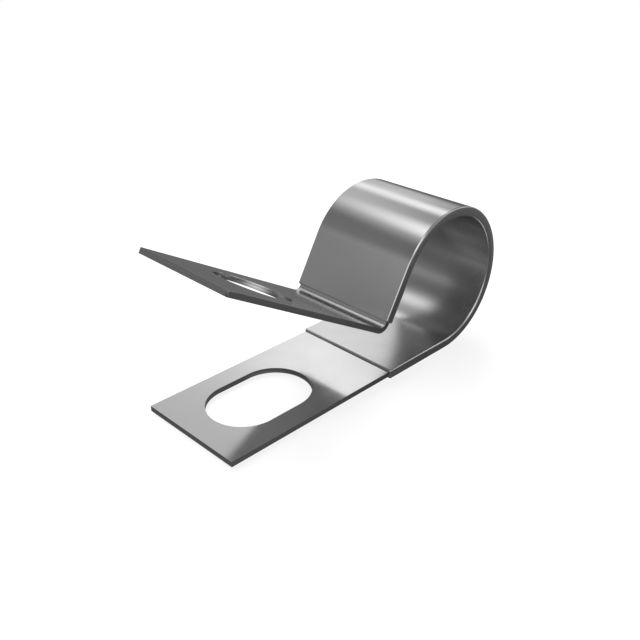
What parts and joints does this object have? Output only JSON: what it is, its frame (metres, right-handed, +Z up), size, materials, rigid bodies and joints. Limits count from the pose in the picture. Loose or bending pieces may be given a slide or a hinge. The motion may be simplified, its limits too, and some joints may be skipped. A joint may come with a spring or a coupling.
{
  "type": "p clip",
  "caption": "Open P clip: a bent steel strap with a jacketed loop for a cable, a slotted lower foot and a raised upper foot with a round hole.",
  "frame": {"origin": "centre of the loop, on the axis of the cable that it holds, halfway across the strap", "axes": "+X along the cable, across the strap; +Y along the feet from their tips towards the loop; +Z up, from the lower foot to the upper"},
  "size_m": [0.0132, 0.0395, 0.0178],
  "materials": {
    "strap_steel": "bright rolled strip, satin to polished, with plain cut edges",
    "jacket_steel": "the same bright satin steel, with rounded edges"
  },
  "bodies": {
    "root": {"strap": "strap_steel", "loop_jacket": "jacket_steel"}
  },
  "joints": []
}
